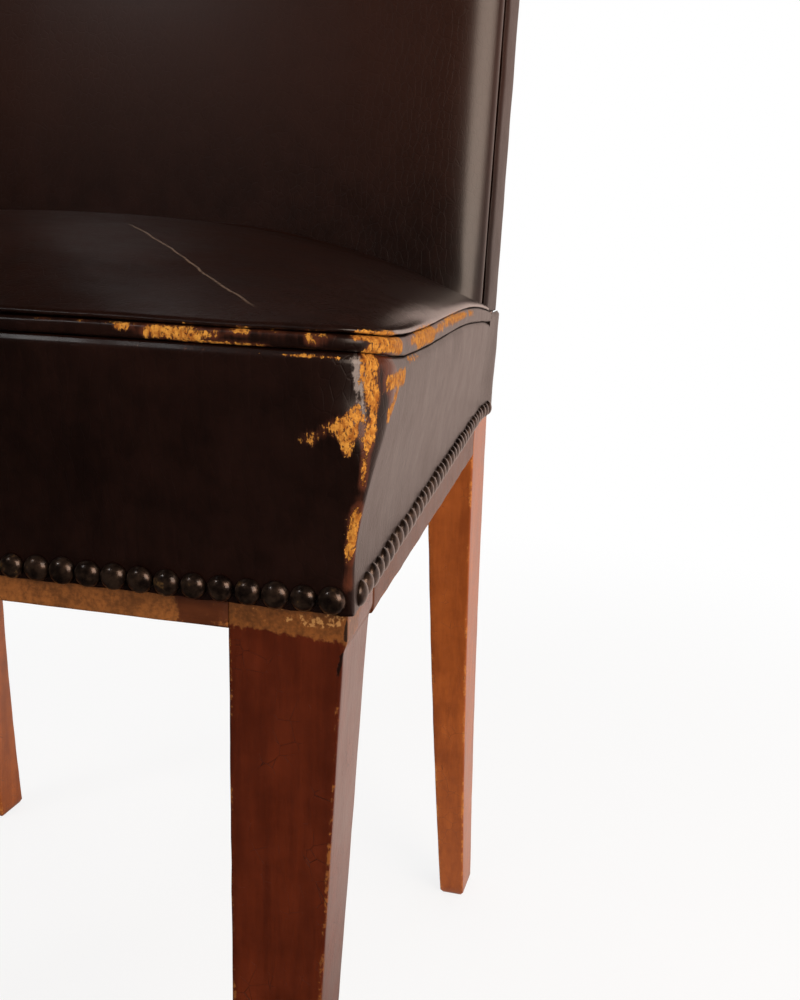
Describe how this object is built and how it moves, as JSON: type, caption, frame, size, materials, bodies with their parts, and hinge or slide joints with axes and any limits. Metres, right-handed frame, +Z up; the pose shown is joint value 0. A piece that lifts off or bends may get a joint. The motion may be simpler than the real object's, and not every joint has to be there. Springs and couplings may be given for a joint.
{
  "type": "upholstered dining chair",
  "caption": "Leather-covered stuff-over dining chair: padded seat and back, close-nailed rails, tapered square front legs and swept rear legs.",
  "frame": {"origin": "the floor point under the middle of the chair's outline", "axes": "+Z up, +Y from the front of the seat to the back, +X to the right for someone facing the front"},
  "size_m": [0.4886, 0.496, 0.8781],
  "materials": {
    "front_leg_wood": "dark red-brown mahogany colour, old varnish",
    "rear_leg_wood": "worn orange-brown, old varnish",
    "rail_wood": "golden brown, stain worn off along the lower edge",
    "hidden_wood": "bare beech",
    "worn_leather": "very dark brown, polished by use, tan where the surface is worn through",
    "calico": "plain weave",
    "hessian": "coarse plain weave",
    "webbing": "close herringbone weave",
    "wadding": "soft cotton felt",
    "fibre_stuffing": "coarse fibre",
    "hair_stuffing": "curled hair",
    "black_cloth": "thin dust cloth",
    "dome_nails": "darkened almost black, bright at a few rubbed spots",
    "blued_tacks": "blued",
    "steel_screws": "dull"
  },
  "bodies": {
    "root": {"back_border_leather": "worn_leather", "back_calico": "calico", "back_hair_stuffing": "hair_stuffing", "back_hessian": "hessian", "back_webbing_across": "webbing", "back_webbing_tacks": "blued_tacks", "back_webbing_upright": "webbing", "bottoming_cloth": "black_cloth", "bottoming_tacks": "blued_tacks", "corner_block_front_left": "hidden_wood", "corner_block_front_right": "hidden_wood", "corner_block_rear_left": "hidden_wood", "corner_block_rear_right": "hidden_wood", "corner_block_screws": "steel_screws", "crest_rail": "hidden_wood", "front_leg_left": "front_leg_wood", "front_leg_right": "front_leg_wood", "front_rail": "rail_wood", "front_rail_wadding": "wadding", "inside_back_leather": "worn_leather", "nails_front": "dome_nails", "nails_left": "dome_nails", "nails_rear": "dome_nails", "nails_right": "dome_nails", "outside_back_leather": "worn_leather", "outside_back_lining": "calico", "rear_leg_and_post_left": "rear_leg_wood", "rear_leg_and_post_right": "rear_leg_wood", "rear_rail": "rail_wood", "seat_border_leather": "worn_leather", "seat_calico": "calico", "seat_edge_band": "worn_leather", "seat_fibre_stuffing": "fibre_stuffing", "seat_hair_stuffing": "hair_stuffing", "seat_hessian": "hessian", "seat_scrim": "hessian", "seat_top_leather": "worn_leather", "seat_webbing_front_to_back": "webbing", "seat_webbing_side_to_side": "webbing", "seat_webbing_tacks": "blued_tacks", "side_rail_left": "rail_wood", "side_rail_right": "rail_wood", "side_rail_wadding_left": "wadding", "side_rail_wadding_right": "wadding", "stay_rail": "hidden_wood"}
  },
  "joints": []
}
